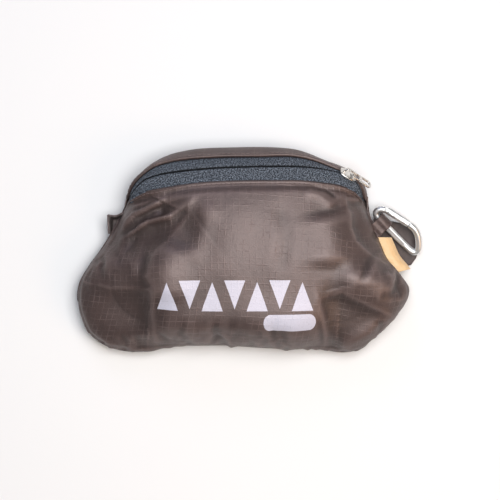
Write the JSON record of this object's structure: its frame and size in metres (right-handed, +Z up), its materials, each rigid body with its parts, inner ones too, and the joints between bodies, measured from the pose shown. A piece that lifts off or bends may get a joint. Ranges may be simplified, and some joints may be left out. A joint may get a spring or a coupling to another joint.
{
  "type": "packable backpack folded away into its own zipped pocket",
  "caption": "Light backpack folded away into its zipped front pocket, a stuffed ripstop pouch with a slider and pull tab, a side loop holding a small carabiner, a side label and a cloth tail.",
  "frame": {"origin": "middle of the flat cloth that rests on the table, under the pouch", "axes": "+X towards the side with the carabiner, +Y towards the zip, +Z up and out of the pouch's front"},
  "size_m": [0.2145, 0.1273, 0.05],
  "materials": {
    "ripstop_cloth": "semi-gloss ripstop nylon",
    "zip_tape": "matt woven polyester",
    "zip_coil": "nylon coil",
    "nickel": "nickel plate",
    "aluminium": "satin, tumbled",
    "label_ribbon": "satin woven ribbon"
  },
  "bodies": {
    "pouch": {"front_panel": "ripstop_cloth", "back_panel": "ripstop_cloth", "folded_pack": "ripstop_cloth", "corner_tab": "ripstop_cloth", "side_loop": "ripstop_cloth", "strap_tail": "ripstop_cloth", "zip_tape_lower": "zip_tape", "zip_tape_upper": "zip_tape", "zip_coil": "zip_coil", "zip_slider": "nickel", "carabiner_body": "aluminium", "side_label": "label_ribbon"},
    "pull": {"zip_pull_tab": "nickel"},
    "gate": {"carabiner_gate": "aluminium", "gate_rivet": "aluminium"}
  },
  "joints": [
    {"name": "pull_tab_lift", "type": "hinge", "parent": "pouch", "child": "pull", "pos_m": [0.06721, 0.04608, 0.03318], "axis": [-0.0558, -0.6547, 0.7538], "range_deg": [0, 140]},
    {"name": "gate_open", "type": "hinge", "parent": "pouch", "child": "gate", "pos_m": [0.09037, 0.02416, 0.01332], "axis": [0.1405, 0.4049, -0.9035], "range_deg": [0, 25], "stiffness_Nm_per_rad": 0.02, "springref_deg": -8.59}
  ]
}
